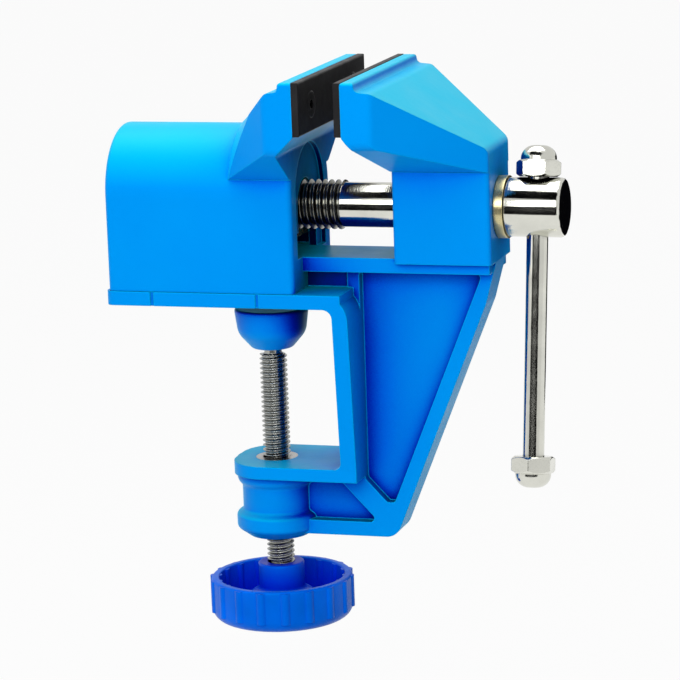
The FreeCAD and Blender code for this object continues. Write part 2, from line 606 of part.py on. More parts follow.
def cap_nut(axis, seat, turn):
    """A cap nut whose flat end is at a distance along the handle's axis, domed outwards."""
    base = HANDLE_CENTRE + axis * seat
    tall = CAP_NUT_HEX + CAP_NUT_DOME
    flat = CAP_NUT_FLATS / 2
    beyond = CAP_NUT_FLATS / math.sqrt(3) + 0.5
    prism = hexagon(CAP_NUT_FLATS, 0, CAP_NUT_HEX, base, axis, turn)
    bevels = turned([(0, 0), (0, flat - 0.3), (1.2, beyond), (CAP_NUT_HEX - 1.2, beyond),
                     (CAP_NUT_HEX, flat - 0.3), (CAP_NUT_HEX, 0)], base, axis)
    dome = lathe([(CAP_NUT_HEX, 0, 0), (CAP_NUT_HEX, flat - 0.5, 0), (tall, flat - 0.5, CAP_NUT_DOME - 0.3),
                  (tall, 0, 0)], base, axis)
    nut = prism.common(bevels).fuse(dome)
    return nut.cut(rod(HANDLE_RADIUS + SEAT, -1, CAP_NUT_BORE, base, axis))


def clamp_bush():
    """The threaded bush in the boss."""
    sleeve = rod(BUSH_RADIUS, BOSS_BOTTOM, -THROAT_HEIGHT, Vector(0, 0, 0), Z_AXIS)
    return sleeve.cut(rod(CLAMP_RADIUS + RUN, BOSS_BOTTOM - 1, 1 - THROAT_HEIGHT, Vector(0, 0, 0), Z_AXIS))


def clamp_screw():
    """The clamp screw: ball end, neck, thread, and a flatted spigot for the handwheel."""
    thread_top = -CLAMP_PAD_TOP - CLAMP_PAD_HEIGHT - 1.5
    neck_z = BALL_Z - math.sqrt(BALL_RADIUS ** 2 - BALL_NECK_RADIUS ** 2)
    points = [(neck_z + 1, 0), (neck_z + 1, BALL_NECK_RADIUS), (thread_top, BALL_NECK_RADIUS)]
    rings = thread_points(HUB_TOP, thread_top - 0.6, CLAMP_PITCH, CLAMP_RADIUS, CLAMP_THREAD_DEPTH)
    points += rings[::-1]
    end = WHEEL_BOTTOM + 0.6
    points += [(HUB_TOP, CLAMP_RADIUS), (HUB_TOP, SPIGOT_RADIUS), (end, SPIGOT_RADIUS), (end, 0)]
    stem = turned(points, Vector(0, 0, 0), Z_AXIS)
    ball = Part.makeSphere(BALL_RADIUS, Vector(0, 0, BALL_Z))
    corner = Vector(SPIGOT_RADIUS - SPIGOT_FLAT, -5, WHEEL_NUT_TOP)
    flat = Part.makeBox(10, 10, HUB_TOP - WHEEL_NUT_TOP, corner)
    return stem.fuse(ball).removeSplitter().cut(flat)


def ring_heights():
    """The retaining ring's underside and top: just below the ball, inside the pad's mouth."""
    top = BALL_Z - math.sqrt(BALL_RADIUS ** 2 - (BALL_NECK_RADIUS + LOOSE) ** 2) - SLIDE
    return top - RING_THICKNESS, top


def clamp_pad():
    """The swivel pad: a dome, flat on top, with the ball's socket and the ring's groove inside."""
    top = -CLAMP_PAD_TOP
    bottom = top - CLAMP_PAD_HEIGHT
    mouth = RING_RADIUS - 0.6
    dome = outline([(0, 0, 0), (CLAMP_PAD_RADIUS, 0, 0.8), (CLAMP_PAD_RADIUS, -CLAMP_PAD_RIM, 0.4),
                    (CLAMP_PAD_RADIUS - 0.8, -CLAMP_PAD_HEIGHT * 0.62, 5.5),
                    (mouth + 1.2, -CLAMP_PAD_HEIGHT, 1.5), (0, -CLAMP_PAD_HEIGHT, 0)],
                   lambda r, z: Vector(r, 0, top + z))
    dome = dome.revolve(Vector(0, 0, 0), Z_AXIS, 360)
    socket = Part.makeSphere(BALL_RADIUS + RUN, Vector(0, 0, BALL_Z))
    ring_low, ring_high = ring_heights()
    throat = rod(BALL_RADIUS + RUN, ring_low, BALL_Z, Vector(0, 0, 0), Z_AXIS)
    groove = rod(RING_RADIUS + LOOSE, ring_low - LOOSE, ring_high + LOOSE, Vector(0, 0, 0), Z_AXIS)
    opening = rod(mouth, bottom - 1, ring_low, Vector(0, 0, 0), Z_AXIS)
    return dome.cut([socket, throat, groove, opening])


def pad_retaining_ring():
    """The split ring that keeps the pad on the ball."""
    low, high = ring_heights()
    ring = rod(RING_RADIUS, low, high, Vector(0, 0, 0), Z_AXIS)
    slit = Part.makeBox(2 * RING_RADIUS, 1.2, 4, Vector(0, -0.6, low - 1))
    return ring.cut([rod(BALL_NECK_RADIUS + LOOSE, low - 1, high + 1, Vector(0, 0, 0), Z_AXIS), slit])


def handwheel():
    """The handwheel: a ribbed cup with a hub that seats under the clamp screw's thread."""
    rim = WHEEL_RIM
    body = WHEEL_RADIUS - WHEEL_GRIP
    floor = WHEEL_BOTTOM + WHEEL_FLOOR
    cup = outline([(0, HUB_TOP, 0), (HUB_RADIUS, HUB_TOP, 0.6),
                   (HUB_RADIUS, WHEEL_BOTTOM + HUB_FOOT_HEIGHT + 1, 1.5),
                   (HUB_FOOT_RADIUS, WHEEL_BOTTOM + HUB_FOOT_HEIGHT, 1), (HUB_FOOT_RADIUS + 0.5, floor, 1),
                   (body - WHEEL_WALL, floor, 1.5), (body - WHEEL_WALL + 0.4, rim, 0.5), (body, rim, 0.8),
                   (body, WHEEL_BOTTOM, WHEEL_ROUND), (0, WHEEL_BOTTOM, 0)],
                  lambda r, z: Vector(r, 0, z))
    cup = cup.revolve(Vector(0, 0, 0), Z_AXIS, 360)
    grips = []
    for i in range(WHEEL_GRIP_COUNT):
        angle = math.radians(360 * (i + 0.5) / WHEEL_GRIP_COUNT)
        centre = Vector(math.cos(angle), math.sin(angle), 0) * (body - 1.1)
        low = WHEEL_BOTTOM + WHEEL_ROUND - 0.6
        grips.append(rod(1.1 + WHEEL_GRIP, low, rim - 0.4, centre, Z_AXIS))
    cup = cup.fuse(grips).removeSplitter()
    spigot = rod(SPIGOT_RADIUS + SEAT, WHEEL_BOTTOM - 1, HUB_TOP + 1, Vector(0, 0, 0), Z_AXIS)
    nut_room = rod(WHEEL_WASHER_RADIUS + SLIDE, WHEEL_BOTTOM - 1, WHEEL_NUT_TOP, Vector(0, 0, 0), Z_AXIS)
    key = Part.makeBox(10, 10, HUB_TOP - WHEEL_NUT_TOP,
                       Vector(SPIGOT_RADIUS - SPIGOT_FLAT + SEAT, -5, WHEEL_NUT_TOP))
    return cup.cut([spigot.cut(key), nut_room])


def handwheel_washer():
    """The washer between the handwheel and its nut."""
    low = WHEEL_NUT_TOP - WHEEL_WASHER_THICKNESS
    ring = rod(WHEEL_WASHER_RADIUS, low, WHEEL_NUT_TOP, Vector(0, 0, 0), Z_AXIS)
    return ring.cut(rod(SPIGOT_RADIUS + SEAT, low - 1, WHEEL_NUT_TOP + 1, Vector(0, 0, 0), Z_AXIS))


def handwheel_nut():
    """The nut that holds the handwheel on the clamp screw."""
    high = WHEEL_NUT_TOP - WHEEL_WASHER_THICKNESS
    low = high - WHEEL_NUT_HEIGHT
    nut = hexagon(WHEEL_NUT_FLATS, low, high, Vector(0, 0, 0), Z_AXIS, 0)
    return nut.cut(rod(SPIGOT_RADIUS + SEAT, low - 1, high + 1, Vector(0, 0, 0), Z_AXIS))


def pieces():
    """Every piece of the vise by the name of its node."""
    return {
        "frame_casting": frame_casting(),
        "fixed_jaw_pad": pad(FIXED_FACE_X, 1),
        "fixed_jaw_pad_screws": pad_screws(FIXED_FACE_X, 1),
        "sliding_jaw": sliding_jaw(),
        "sliding_jaw_pad": pad(SLIDING_FACE_X, -1),
        "sliding_jaw_pad_screws": pad_screws(SLIDING_FACE_X, -1),
        "lead_nut": lead_nut(),
        "lead_screw": lead_screw(),
        "thrust_washer": thrust_washer(),
        "lead_screw_grub": lead_screw_grub(),
        "handle_bar": handle_bar(),
        "handle_nut_upper": cap_nut(HANDLE_AXIS, HANDLE_UPPER_NUT, 0),
        "handle_nut_lower": cap_nut(HANDLE_AXIS * -1, HANDLE_LOWER_NUT, 30),
        "clamp_bush": clamp_bush(),
        "clamp_screw": clamp_screw(),
        "clamp_pad": clamp_pad(),
        "pad_retaining_ring": pad_retaining_ring(),
        "handwheel": handwheel(),
        "handwheel_washer": handwheel_washer(),
        "handwheel_nut": handwheel_nut(),
    }


os.makedirs("parts", exist_ok=True)
for name, shape in pieces().items():
    shape.exportStep(f"parts/{name}.step")
    print(f"{name}: {len(shape.Solids)} solid(s), {shape.Volume:.1f} mm3, valid {shape.isValid()}")
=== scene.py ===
"""Looks of the clamp-on bench vise, as an add-on: its finishes, its true threads and its stage."""
import json
import math

import bpy
from bpy.props import FloatProperty, FloatVectorProperty, IntProperty, PointerProperty
from bpy.types import Operator, Panel, PropertyGroup
from mathutils import Matrix, Vector


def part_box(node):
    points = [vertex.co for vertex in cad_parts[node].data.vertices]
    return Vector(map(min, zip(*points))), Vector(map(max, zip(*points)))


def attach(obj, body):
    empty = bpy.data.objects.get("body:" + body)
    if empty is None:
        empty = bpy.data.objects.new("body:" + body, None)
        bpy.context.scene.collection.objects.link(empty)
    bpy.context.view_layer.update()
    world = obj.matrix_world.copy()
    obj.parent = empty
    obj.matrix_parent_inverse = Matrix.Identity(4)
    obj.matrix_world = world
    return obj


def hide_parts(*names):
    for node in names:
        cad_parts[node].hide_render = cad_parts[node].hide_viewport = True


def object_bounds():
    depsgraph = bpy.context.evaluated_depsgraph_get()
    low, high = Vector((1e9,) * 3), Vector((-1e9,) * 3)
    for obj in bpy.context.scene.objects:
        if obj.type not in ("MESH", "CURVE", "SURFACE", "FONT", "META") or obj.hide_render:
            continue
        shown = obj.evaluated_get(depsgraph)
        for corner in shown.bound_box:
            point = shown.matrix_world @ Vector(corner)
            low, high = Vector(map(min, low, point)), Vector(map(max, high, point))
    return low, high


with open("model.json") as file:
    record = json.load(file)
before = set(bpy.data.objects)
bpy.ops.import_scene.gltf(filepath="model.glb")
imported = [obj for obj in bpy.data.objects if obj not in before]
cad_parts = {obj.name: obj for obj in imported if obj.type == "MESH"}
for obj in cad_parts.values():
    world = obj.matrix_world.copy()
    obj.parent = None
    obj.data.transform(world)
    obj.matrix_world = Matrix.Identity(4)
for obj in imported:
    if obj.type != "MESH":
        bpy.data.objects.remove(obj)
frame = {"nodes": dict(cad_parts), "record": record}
CAD_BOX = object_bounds()

bl_info = {
    "name": "Bench vise looks",
    "version": (1, 0, 0),
    "blender": (4, 5, 0),
    "location": "3D View > Sidebar > Vise",
    "description": "Finishes, true threads and a stage for a clamp-on bench vise",
    "category": "Object",
}

TINY = 1e-5  # metres; selects what lies in a plane
MERGE = 1e-6  # metres; corners nearer than this are one
FLOOR_GAP = 0.0002  # metres; from the handwheel at its lowest to the floor
CARD_DISTANCE = 0.35  # metres; from the lead screw's head to each dark card


class ViseFinishes(PropertyGroup):
    """Colours and grain of the vise's finishes."""

    paint: FloatVectorProperty(
        name="Paint", description="Gloss blue of the castings",
        subtype="COLOR", default=(0.0, 0.27, 0.79),
        min=0, max=1)
    # Painted shade: this deep blue stands in for shade in corners and recesses of the castings and the
    # handwheel; it is also mixed a little into the paint's random darker tone
    paint_recess_shade: FloatVectorProperty(
        name="Deep paint", description="Blue where the paint pools in corners and recesses",
        subtype="COLOR",
        default=(0.0, 0.008, 0.64), min=0, max=1)
    # Painted shadow: near-black blue put into the deepest hollows of the castings
    paint_shadow: FloatVectorProperty(
        name="Shadowed paint", description="Blue of the deepest hollows", subtype="COLOR",
        default=(0.0, 0.0, 0.03), min=0, max=1)
    # Painted light: a paler blue for faces that look up, standing in for light from above
    paint_top_light: FloatVectorProperty(
        name="Upper paint", description="Paler blue of faces that look up", subtype="COLOR",
        default=(0.0, 0.50, 0.72), min=0, max=1)
    # Painted highlight: a paler blue put on the outer edges of the castings
    paint_edge_highlight: FloatVectorProperty(
        name="Paint edge", description="Paler blue where the paint is thin on edges", subtype="COLOR",
        default=(0.0, 0.42, 0.88), min=0, max=1)
    paint_sheen: FloatVectorProperty(
        name="Paint sheen", description="Tint of the paint's highlights", subtype="COLOR",
        default=(0.0, 0.8, 1.0), min=0, max=1)
    paint_grain: FloatProperty(
        name="Paint grain", description="Size of the paint's ripple over the cast surface",
        unit="LENGTH",
        subtype="DISTANCE", default=0.0012, min=0.0001, max=0.01)
    wheel: FloatVectorProperty(
        name="Handwheel", description="Moulded blue of the handwheel",
        subtype="COLOR", default=(0.0, 0.14, 0.84),
        min=0, max=1)
    pad: FloatVectorProperty(
        name="Jaw pads", description="Black of the jaw pads",
        subtype="COLOR", default=(0.003, 0.003, 0.004),
        min=0, max=1)
    chrome: FloatVectorProperty(
        name="Chrome", description="Plating of the lead screw and the handle", subtype="COLOR",
        default=(0.74, 0.74, 0.67), min=0, max=1)
    # Partly painted reflection: the thread is unpolished steel, and its colour is also darkened to stand
    # in for the dark surroundings it reflects
    thread_dark: FloatVectorProperty(
        name="Oiled thread", description="Dark oiled steel of the lead screw's thread", subtype="COLOR",
        default=(0.22, 0.22, 0.19), min=0, max=1)
    zinc: FloatVectorProperty(
        name="Bright zinc", description="Plating of the clamp screw",
        subtype="COLOR", default=(0.42, 0.43, 0.41),
        min=0, max=1)
    yellow_zinc: FloatVectorProperty(
        name="Yellow zinc", description="Plating of the thrust washer",
        subtype="COLOR", default=(0.66, 0.58, 0.32),
        min=0, max=1)
    steel: FloatVectorProperty(
        name="Steel", description="Bare turned steel",
        subtype="COLOR", default=(0.48, 0.47, 0.46), min=0, max=1)
    brass: FloatVectorProperty(
        name="Brass", description="Machined brass of the nut",
        subtype="COLOR", default=(0.72, 0.50, 0.20),
        min=0, max=1)
    oxide: FloatVectorProperty(
        name="Black oxide", description="Blackened steel of the socket screws", subtype="COLOR",
        default=(0.02, 0.02, 0.022), min=0, max=1)


class ViseThreads(PropertyGroup):
    """Sizes of the two threads."""

    lead_radius: FloatProperty(
        name="Lead radius", description="Outer radius of the lead screw's thread", unit="LENGTH",
        subtype="DISTANCE", default=0.007, min=0.002, max=0.02)
    lead_pitch: FloatProperty(
        name="Lead pitch", description="Pitch of the lead screw", unit="LENGTH", subtype="DISTANCE",
        default=0.002, min=0.0005, max=0.01)
    lead_depth: FloatProperty(
        name="Lead depth", description="Depth of the lead screw's thread",
        unit="LENGTH", subtype="DISTANCE",
        default=0.0011, min=0.0002, max=0.004)
    lead_length: FloatProperty(
        name="Lead length", description="Threaded length from the lead screw's tip", unit="LENGTH",
        subtype="DISTANCE", default=0.05, min=0.01, max=0.2)
    shank_radius: FloatProperty(
        name="Shank radius", description="Radius of the lead screw between its thread and its journal",
        unit="LENGTH", subtype="DISTANCE", default=0.00635, min=0.002, max=0.02)
    journal_length: FloatProperty(
        name="Journal length", description="From the journal's left end to the outer face of the neck",
        unit="LENGTH", subtype="DISTANCE", default=0.0272, min=0.005, max=0.1)
    head_length: FloatProperty(
        name="Head length", description="Length of the lead screw's head", unit="LENGTH",
        subtype="DISTANCE", default=0.0157, min=0.005, max=0.05)
    head_collar: FloatProperty(
        name="Inner chamfer", description="Chamfer of the head's end at the washer", unit="LENGTH",
        subtype="DISTANCE", default=0.0003, min=0.0001, max=0.003)
    head_chamfer: FloatProperty(
        name="Outer chamfer", description="Chamfer of the head's free end", unit="LENGTH",
        subtype="DISTANCE", default=0.001, min=0.0001, max=0.003)
    hole_clearance: FloatProperty(
        name="Hole clearance", description="Gap round the handle in the head's hole", unit="LENGTH",
        subtype="DISTANCE", default=0.0001, min=0.00001, max=0.001)
    clamp_pitch: FloatProperty(
        name="Clamp pitch", description="Pitch of the clamp screw", unit="LENGTH", subtype="DISTANCE",
        default=0.0014, min=0.0005, max=0.01)
    clamp_depth: FloatProperty(
        name="Clamp depth", description="Depth of the clamp screw's thread",
        unit="LENGTH", subtype="DISTANCE",
        default=0.00075, min=0.0002, max=0.004)
    ball_neck: FloatProperty(
        name="Ball neck", description="Bare length under the swivel pad, above the clamp screw's thread",
        unit="LENGTH", subtype="DISTANCE", default=0.0021, min=0.0001, max=0.02)
    steps: IntProperty(
        name="Steps", description="Faces round one turn of a thread", default=64, min=16, max=256)


class ViseStage(PropertyGroup):
    """Camera, floor and lights."""

    azimuth: FloatProperty(
        name="Azimuth", description="Camera's turn round the vise, from its near side", subtype="ANGLE",
        default=math.radians(17.2004))
    elevation: FloatProperty(
        name="Elevation", description="Camera's height above the horizon", subtype="ANGLE",
        default=math.radians(11.7256))
    roll: FloatProperty(
        name="Roll", description="Camera's roll about its own axis",
        subtype="ANGLE", default=math.radians(-2.0528))
    distance: FloatProperty(
        name="Distance", description="Camera to the point it is aimed at",
        unit="LENGTH", subtype="DISTANCE",
        default=0.931448)
    lens: FloatProperty(
        name="Lens", description="Focal length on a 36 mm sensor, in millimetres",
        default=177.377, min=10, max=500)
    aim: FloatVectorProperty(
        name="Aim", description="Camera's aim, from the middle of the vise",
        unit="LENGTH", subtype="TRANSLATION",
        default=(0.002817, -0.014094, 0.005295))
    floor: FloatVectorProperty(
        name="Floor", description="Colour of the floor",
        subtype="COLOR", default=(0.45, 0.45, 0.45), min=0, max=1)
    top_power: FloatProperty(
        name="Top light", description="Power of the overhead light, in watts", default=2.2, min=0)
    front_power: FloatProperty(
        name="Front light", description="Power of the light in front, in watts", default=2.7, min=0)
    side_power: FloatProperty(
        name="Side light", description="Power of the light on the left, in watts", default=0.3, min=0)
    sky: FloatProperty(
        name="Sky", description="Strength of the even light from all round", default=0.32, min=0, max=2)


def joint_named(name):
    """A joint's entry in the record."""
    return next(joint for joint in frame["record"]["behaviour"]["joints"] if joint["name"] == name)


def new_material(name):
    """A material with nodes: its node tree and its Principled shader."""
    material = bpy.data.materials.new(name)
    material.use_nodes = True
    return material, material.node_tree, material.node_tree.nodes["Principled BSDF"]


def add_node(tree, kind, **values):
    """A shader node with sockets or properties set by name."""
    made = tree.nodes.new(kind)
    for name, value in values.items():
        if name in made.inputs:
            made.inputs[name].default_value = value
        else:
            setattr(made, name, value)
    return made


def object_noise(tree, size, detail=3.0, stretch=(1, 1, 1)):
    """A noise whose features are about a size in metres, stretched along the object's axes."""
    place = add_node(tree, "ShaderNodeTexCoord")
    mapping = add_node(tree, "ShaderNodeMapping")
    mapping.inputs["Scale"].default_value = stretch
    noise = add_node(tree, "ShaderNodeTexNoise", Scale=0.5 / size, Detail=detail, Roughness=0.55)
    tree.links.new(place.outputs["Object"], mapping.inputs["Vector"])
    tree.links.new(mapping.outputs["Vector"], noise.inputs["Vector"])
    return noise.outputs["Fac"]


def remap(tree, value, low, high, from_low=0.3, from_high=0.7):
    """A value stretched from one range to another and held inside it."""
    ranged = add_node(tree, "ShaderNodeMapRange")
    ranged.inputs["From Min"].default_value = from_low
    ranged.inputs["From Max"].default_value = from_high
    ranged.inputs["To Min"].default_value = low
    ranged.inputs["To Max"].default_value = high
    tree.links.new(value, ranged.inputs["Value"])
    return ranged.outputs["Result"]


def blend_colours(tree, factor, first, second):
    """A mix of two colours; each is a colour or a socket."""
    mix = add_node(tree, "ShaderNodeMix", data_type="RGBA")
    tree.links.new(factor, mix.inputs["Factor"])
    for socket, colour in ((mix.inputs[6], first), (mix.inputs[7], second)):
        if isinstance(colour, bpy.types.NodeSocket):
            tree.links.new(colour, socket)
        else:
            socket.default_value = (*colour, 1)
    return mix.outputs[2]


def add_bump(tree, shader, height, distance, strength=1.0, before=None):
    """Bump on a shader from a height, over another bump or a rounded normal if one is given."""
    bump = add_node(tree, "ShaderNodeBump", Strength=strength, Distance=distance)
    tree.links.new(height, bump.inputs["Height"])
    if before is not None:
        tree.links.new(before, bump.inputs["Normal"])
    tree.links.new(bump.outputs["Normal"], shader.inputs["Normal"])
    return bump.outputs["Normal"]


def edge_wear_and_highlight(tree, radius):
    """1 on outer edges and 0 on flat faces."""
    rounded = add_node(tree, "ShaderNodeBevel", samples=6, Radius=radius)
    geometry = add_node(tree, "ShaderNodeNewGeometry")
    product = add_node(tree, "ShaderNodeVectorMath", operation="DOT_PRODUCT")
    tree.links.new(rounded.outputs["Normal"], product.inputs[0])
    tree.links.new(geometry.outputs["Normal"], product.inputs[1])
    return remap(tree, product.outputs["Value"], 1.0, 0.0, 0.80, 0.99), rounded.outputs["Normal"]


def recesses(tree, reach, closed=0.35, open_air=0.95):
    """1 deep in corners and 0 in the open, between two shares of open air."""
    occlusion = add_node(tree, "ShaderNodeAmbientOcclusion", samples=8, Distance=reach)
    return remap(tree, occlusion.outputs["AO"], 1.0, 0.0, closed, open_air)


def painted_casting(finishes):
    """Gloss paint over a fine cast surface, with painted shade deepening the blue in corners and
    recesses, a paler painted light on faces that look up and a paler painted highlight on outer edges.
    """
    material, tree, shader = new_material("gloss_blue_paint")
    drift = remap(tree, object_noise(tree, 0.02), 0.0, 0.35)
    darker = [0.75 * p + 0.25 * d for p, d in zip(finishes.paint, finishes.paint_recess_shade)]
    body = blend_colours(tree, drift, finishes.paint, darker)
    # Painted light: faces that look up are blended towards a paler blue by their world normal
    normal = add_node(tree, "ShaderNodeNewGeometry")
    facing = add_node(tree, "ShaderNodeSeparateXYZ")
    tree.links.new(normal.outputs["Normal"], facing.inputs["Vector"])
    lit_from_above = remap(tree, facing.outputs["Z"], 0.0, 0.9, 0.15, 0.8)
    body = blend_colours(tree, lit_from_above, body, finishes.paint_top_light)
    # Painted shade: the paint turns deeper blue in corners and recesses, by ambient occlusion within 25
    # mm
    painted_shade = blend_colours(tree, recesses(tree, 0.025, 0.5, 0.95), body, finishes.paint_recess_shade)
    # Painted shadow: the deepest hollows turn near-black, by ambient occlusion within 35 mm
    painted_shade = blend_colours(tree, recesses(tree, 0.035, 0.2, 0.65), painted_shade, finishes.paint_shadow)
    # Painted highlight: the castings' outer edges turn paler blue
    edges, rounded = edge_wear_and_highlight(tree, 0.0006)
    tree.links.new(blend_colours(tree, edges, painted_shade, finishes.paint_edge_highlight), shader.inputs["Base Color"])
    tree.links.new(remap(tree, object_noise(tree, 0.006), 0.30, 0.40), shader.inputs["Roughness"])
    shader.inputs["Specular IOR Level"].default_value = 0.12
    shader.inputs["Specular Tint"].default_value = (*finishes.paint_sheen, 1)
    shader.inputs["Sheen Weight"].default_value = 0.45
    shader.inputs["Sheen Roughness"].default_value = 0.35
    shader.inputs["Sheen Tint"].default_value = (*finishes.paint_sheen, 1)
    ripple = add_bump(tree, shader, object_noise(tree, finishes.paint_grain, 2.0), 0.00006, 0.7, rounded)
    add_bump(tree, shader, object_noise(tree, 0.008, 1.0), 0.0003, 0.35, ripple)
    return material


def moulded_blue(finishes):
    """Semi-gloss moulded plastic, with painted shade in its recesses."""
    material, tree, shader = new_material("moulded_blue")
    drift = remap(tree, object_noise(tree, 0.01), 0.0, 1.0)
    darker = [0.7 * c for c in finishes.wheel]
    body = blend_colours(tree, drift, finishes.wheel, darker)
    # Painted shade: the handwheel turns deeper blue in recesses within 15 mm, by ambient occlusion
    shaded = blend_colours(tree, recesses(tree, 0.015), body, finishes.paint_recess_shade)
    tree.links.new(shaded, shader.inputs["Base Color"])
    tree.links.new(remap(tree, object_noise(tree, 0.004), 0.30, 0.42), shader.inputs["Roughness"])
    shader.inputs["Specular IOR Level"].default_value = 0.22
    shader.inputs["Specular Tint"].default_value = (*finishes.paint_sheen, 1)
    rounded = edge_wear_and_highlight(tree, 0.0003)[1]
    add_bump(tree, shader, object_noise(tree, 0.0005, 2.0), 0.00003, 0.6, rounded)
    return material


def pad_black(finishes):
    """Black jaw pad: satin, with a fine leathery grain and rubbed edges."""
    material, tree, shader = new_material("jaw_pad_black")
    edges, rounded = edge_wear_and_highlight(tree, 0.0004)
    rubbed = [0.008 + 2 * c for c in finishes.pad]
    drift = remap(tree, object_noise(tree, 0.006), 0.0, 0.4)
    shader.inputs["Specular IOR Level"].default_value = 0.2
    body = blend_colours(tree, drift, finishes.pad, rubbed)
    tree.links.new(blend_colours(tree, edges, body, rubbed), shader.inputs["Base Color"])
    tree.links.new(remap(tree, object_noise(tree, 0.003), 0.38, 0.55), shader.inputs["Roughness"])
    add_bump(tree, shader, object_noise(tree, 0.0004, 2.0), 0.00004, 0.7, rounded)
    return material


def plated(name, colour, roughness, turned_along, scratch=0.00004):
    """Plated or bare metal with turning marks across an axis, given as a stretch of the noise."""
    material, tree, shader = new_material(name)
    edges, rounded = edge_wear_and_highlight(tree, 0.0003)
    dull = [0.72 * c for c in colour]
    drift = remap(tree, object_noise(tree, 0.004), 0.0, 0.5)
    body = blend_colours(tree, drift, colour, dull)
    bright = [min(1, 1.12 * c) for c in colour]
    worn = blend_colours(tree, edges, body, bright)
    # Darker, towards near-black, in crevices within 3 mm, by ambient occlusion
    crevice_dark = [0.06 * c for c in colour]
    crevice_darkened = blend_colours(tree, recesses(tree, 0.003, 0.2, 0.7), worn, crevice_dark)
    tree.links.new(crevice_darkened, shader.inputs["Base Color"])
    shader.inputs["Metallic"].default_value = 1
    grain = remap(tree, object_noise(tree, 0.003), roughness * 0.75, roughness * 1.35)
    tree.links.new(grain, shader.inputs["Roughness"])
    add_bump(tree, shader, object_noise(tree, 0.0006, 3.0, turned_along), scratch, 0.5, rounded)
    return material


def assign(node, material):
    """One material on a CAD node."""
    mesh = frame["nodes"][node].data
    mesh.materials.clear()
    mesh.materials.append(material)


def deselect_all():
    """Leaves nothing selected and no object in edit mode."""
    if bpy.context.object and bpy.context.object.mode != "OBJECT":
        bpy.ops.object.mode_set(mode="OBJECT")
    bpy.ops.object.select_all(action="DESELECT")


def make_active(piece):
    """Selects one object alone."""
    deselect_all()
    piece.select_set(True)
    bpy.context.view_layer.objects.active = piece


def apply_modifiers(piece):
    """Applies each modifier of a piece in turn."""
    make_active(piece)
    for modifier in list(piece.modifiers):
        bpy.ops.object.modifier_apply(modifier=modifier.name)


def settle(piece):
    """Moves a piece's place into its mesh."""
    make_active(piece)
    bpy.ops.object.transform_apply(location=True, rotation=True, scale=True)


def close_and_smooth(piece, angle=35):
    """Merges a piece's doubles, turns its faces outwards and smooths it up to an angle in degrees."""
    make_active(piece)
    bpy.ops.object.mode_set(mode="EDIT")
    bpy.ops.mesh.select_all(action="SELECT")
    bpy.ops.mesh.remove_doubles(threshold=1e-7)
    bpy.ops.mesh.normals_make_consistent(inside=False)
    bpy.ops.object.mode_set(mode="OBJECT")
    bpy.ops.object.shade_smooth_by_angle(angle=math.radians(angle))


def cut_at(piece, point, normal, keep_inner):
    """Cuts a piece by a plane and closes it there; keeps the side behind the normal, or ahead of it."""
    make_active(piece)
    bpy.ops.object.mode_set(mode="EDIT")
    bpy.ops.mesh.select_all(action="SELECT")
    bpy.ops.mesh.bisect(plane_co=point, plane_no=normal, use_fill=True, clear_outer=keep_inner,
                        clear_inner=not keep_inner)
    bpy.ops.object.mode_set(mode="OBJECT")


def copy_node(node, name):
    """A merged copy of a CAD node's mesh, as a piece of its own."""
    source = frame["nodes"][node]
    piece = bpy.data.objects.new(name, source.data.copy())
    bpy.context.scene.collection.objects.link(piece)
    make_active(piece)
    bpy.ops.object.mode_set(mode="EDIT")
    bpy.ops.mesh.select_all(action="SELECT")
    bpy.ops.mesh.remove_doubles(threshold=MERGE)
    bpy.ops.object.mode_set(mode="OBJECT")
    return piece


def helix_thread(name, base, axis, start, end, radius, depth, pitch, steps):
    """A right-hand thread about an axis, solid to its core, from one distance along it to another."""
    letter = "XYZ"[[abs(a) for a in axis].index(max(abs(a) for a in axis))]
    along = Vector(axis)
    out = Vector((0, 0, 1)) if letter == "X" else Vector((1, 0, 0))
    first = start - 2 * pitch
    bpy.ops.mesh.primitive_plane_add(size=pitch, location=base)
    piece = bpy.context.object
    piece.name = name
    bpy.ops.object.mode_set(mode="EDIT")
    bpy.ops.mesh.select_mode(type="VERT")
    bpy.ops.mesh.select_all(action="SELECT")
    bpy.ops.mesh.merge(type="CENTER")
    bpy.ops.transform.translate(value=along * first + out * radius)
    flat = pitch / 8
    flank = (pitch - 3 * flat) / 2
    root = 2 * flat
    for step in (along * flat, along * flank - out * depth, along * root, along * flank + out * depth):
        bpy.ops.mesh.extrude_region_move(TRANSFORM_OT_translate={"value": step})
    bpy.ops.object.mode_set(mode="OBJECT")
    rows = piece.modifiers.new("teeth", "ARRAY")
    rows.use_relative_offset = False
    rows.use_constant_offset = True
    rows.constant_offset_displace = along * pitch
    rows.count = int((end - start) / pitch) + 5
    rows.use_merge_vertices = True
    rows.merge_threshold = MERGE
    turn = piece.modifiers.new("helix", "SCREW")
    turn.axis = letter
    turn.angle = 2 * math.pi
    turn.screw_offset = pitch
    turn.steps = steps
    turn.render_steps = steps
    apply_modifiers(piece)
    settle(piece)
    bpy.ops.object.mode_set(mode="EDIT")
    bpy.ops.mesh.select_all(action="SELECT")
    bpy.ops.mesh.remove_doubles(threshold=MERGE)
    bpy.ops.object.mode_set(mode="OBJECT")
    origin = Vector(base)
    cut_at(piece, origin + along * end, along, True)
    cut_at(piece, origin + along * start, along, False)
    close_and_smooth(piece, 30)
    return piece


def select_ring(piece, place):
    """Selects the edges of a piece that lie in a plane across X; leaves it in edit mode."""
    bpy.ops.object.mode_set(mode="EDIT")
    bpy.ops.mesh.select_mode(type="EDGE")
    bpy.ops.mesh.select_all(action="DESELECT")
    bpy.ops.object.mode_set(mode="OBJECT")
    corners = piece.data.vertices
    for edge in piece.data.edges:
        edge.select = all(abs(corners[i].co.x - place) < TINY for i in edge.vertices)
    bpy.ops.object.mode_set(mode="EDIT")


